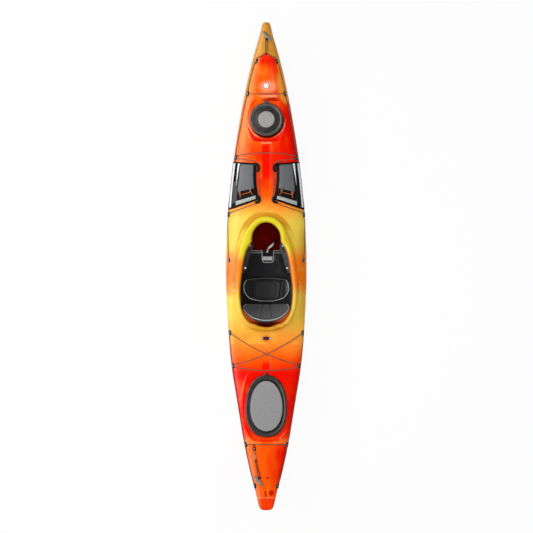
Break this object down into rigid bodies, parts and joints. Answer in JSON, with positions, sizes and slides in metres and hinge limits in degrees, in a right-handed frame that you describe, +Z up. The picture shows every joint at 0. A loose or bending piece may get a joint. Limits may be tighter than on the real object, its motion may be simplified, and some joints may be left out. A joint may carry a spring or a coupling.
{
  "type": "day touring kayak",
  "caption": "Sit-inside day touring kayak with moulded cockpit rim, padded seat, bow and stern hatches, deck bags, bungee rigging and carrying handles.",
  "frame": {"origin": "centre of the length and beam, on the ground under the keel", "axes": "+Z up, +Y towards the bow, +X towards starboard"},
  "size_m": [0.646, 3.89, 0.3938],
  "materials": {
    "moulded_plastic": "gloss, yellow to red fade",
    "hatch_rubber": "satin",
    "grey_insert": "matte",
    "black_nylon": "satin",
    "grey_plastic": "satin",
    "seat_plastic": "satin",
    "seat_fabric": "matte",
    "bag_fabric": "matte",
    "cord_black": "matte",
    "cord_orange": "matte",
    "webbing_grey": "matte",
    "rail_aluminium": "satin"
  },
  "bodies": {
    "hull": {"hull_shell": "moulded_plastic", "bow_bulkhead": "seat_plastic", "stern_bulkhead": "seat_plastic", "bow_perimeter_line": "cord_black", "bow_bungee_front": "cord_black", "bow_bungee_rear": "cord_black", "stern_bungee_front": "cord_black", "stern_bungee_rear": "cord_black", "diagonal_bungee_lower": "cord_black", "diagonal_bungee_upper": "cord_black", "stern_handle_eye": "black_nylon", "rear_deck_fitting": "black_nylon", "seat_pan": "seat_plastic", "seat_cushion": "seat_fabric", "lifter_buckle": "seat_plastic", "lifter_strap": "webbing_grey", "bow_end_eye_port": "black_nylon", "hatch_eye_port": "black_nylon", "bag_front_eye_port": "black_nylon", "bag_rear_eye_port": "black_nylon", "cockpit_rear_eye_port": "black_nylon", "bungee_eye_port": "black_nylon", "stern_hatch_eye_port": "black_nylon", "stern_end_eye_port": "black_nylon", "line_end_eye_port": "grey_plastic", "stern_perimeter_line_port": "cord_black", "bag_bungee_port": "cord_black", "deck_bag_port": "bag_fabric", "bag_cord_port": "cord_orange", "foot_rail_port": "rail_aluminium", "bow_end_eye_starboard": "black_nylon", "hatch_eye_starboard": "black_nylon", "bag_front_eye_starboard": "black_nylon", "bag_rear_eye_starboard": "black_nylon", "cockpit_rear_eye_starboard": "black_nylon", "bungee_eye_starboard": "black_nylon", "stern_hatch_eye_starboard": "black_nylon", "stern_end_eye_starboard": "black_nylon", "line_end_eye_starboard": "grey_plastic", "stern_perimeter_line_starboard": "cord_black", "bag_bungee_starboard": "cord_black", "deck_bag_starboard": "bag_fabric", "bag_cord_starboard": "cord_orange", "foot_rail_starboard": "rail_aluminium"},
    "bow_hatch": {"bow_hatch_cover": "hatch_rubber", "bow_hatch_insert": "grey_insert"},
    "stern_hatch": {"stern_hatch_cover": "hatch_rubber", "stern_hatch_insert": "grey_insert"},
    "leg_lifter": {"leg_lifter": "seat_fabric"},
    "backrest": {"backrest_pad": "seat_fabric", "backrest_frame": "seat_plastic", "backrest_loop": "cord_black"},
    "bow_handle": {"bow_handle_grip": "grey_plastic", "bow_handle_cord": "cord_black"},
    "stern_handle": {"stern_handle_grip": "grey_plastic", "stern_handle_cord": "cord_black"},
    "pedal_port": {"foot_pedal_port": "black_nylon"},
    "pedal_starboard": {"foot_pedal_starboard": "black_nylon"},
    "thigh_brace_port": {"thigh_brace_port": "seat_plastic"},
    "thigh_brace_starboard": {"thigh_brace_starboard": "seat_plastic"}
  },
  "joints": [
    {"name": "bow_hatch_lift", "type": "slide", "parent": "hull", "child": "bow_hatch", "axis": [0, 0, 1], "range_m": [0, 0.15]},
    {"name": "stern_hatch_lift", "type": "slide", "parent": "hull", "child": "stern_hatch", "axis": [0, 0, 1], "range_m": [0, 0.15]},
    {"name": "leg_lifter_hinge", "type": "hinge", "parent": "hull", "child": "leg_lifter", "pos_m": [0, -0.08, 0.0358], "axis": [1, 0, 0], "range_deg": [0, 18]},
    {"name": "backrest_hinge", "type": "hinge", "parent": "hull", "child": "backrest", "pos_m": [0, -0.298, 0.104], "axis": [-1, 0, 0], "range_deg": [0, 45]},
    {"name": "bow_handle_swing", "type": "hinge", "parent": "hull", "child": "bow_handle", "pos_m": [0, 1.687, 0.37132], "axis": [1, 0, 0], "range_deg": [0, 90]},
    {"name": "stern_handle_swing", "type": "hinge", "parent": "hull", "child": "stern_handle", "pos_m": [-0.09102, -1.47263, 0.31775], "axis": [-1, 0, 0], "range_deg": [0, 90]},
    {"name": "pedal_slide_port", "type": "slide", "parent": "hull", "child": "pedal_port", "axis": [0.1164, 0.9932, 0], "range_m": [-0.12, 0.12]},
    {"name": "pedal_slide_starboard", "type": "slide", "parent": "hull", "child": "pedal_starboard", "axis": [-0.1164, 0.9932, 0], "range_m": [-0.12, 0.12]},
    {"name": "thigh_brace_slide_port", "type": "slide", "parent": "hull", "child": "thigh_brace_port", "axis": [-0.2583, -0.9633, -0.0738], "range_m": [-0.018, 0.018]},
    {"name": "thigh_brace_slide_starboard", "type": "slide", "parent": "hull", "child": "thigh_brace_starboard", "axis": [0.2583, -0.9633, -0.0738], "range_m": [-0.018, 0.018]}
  ]
}
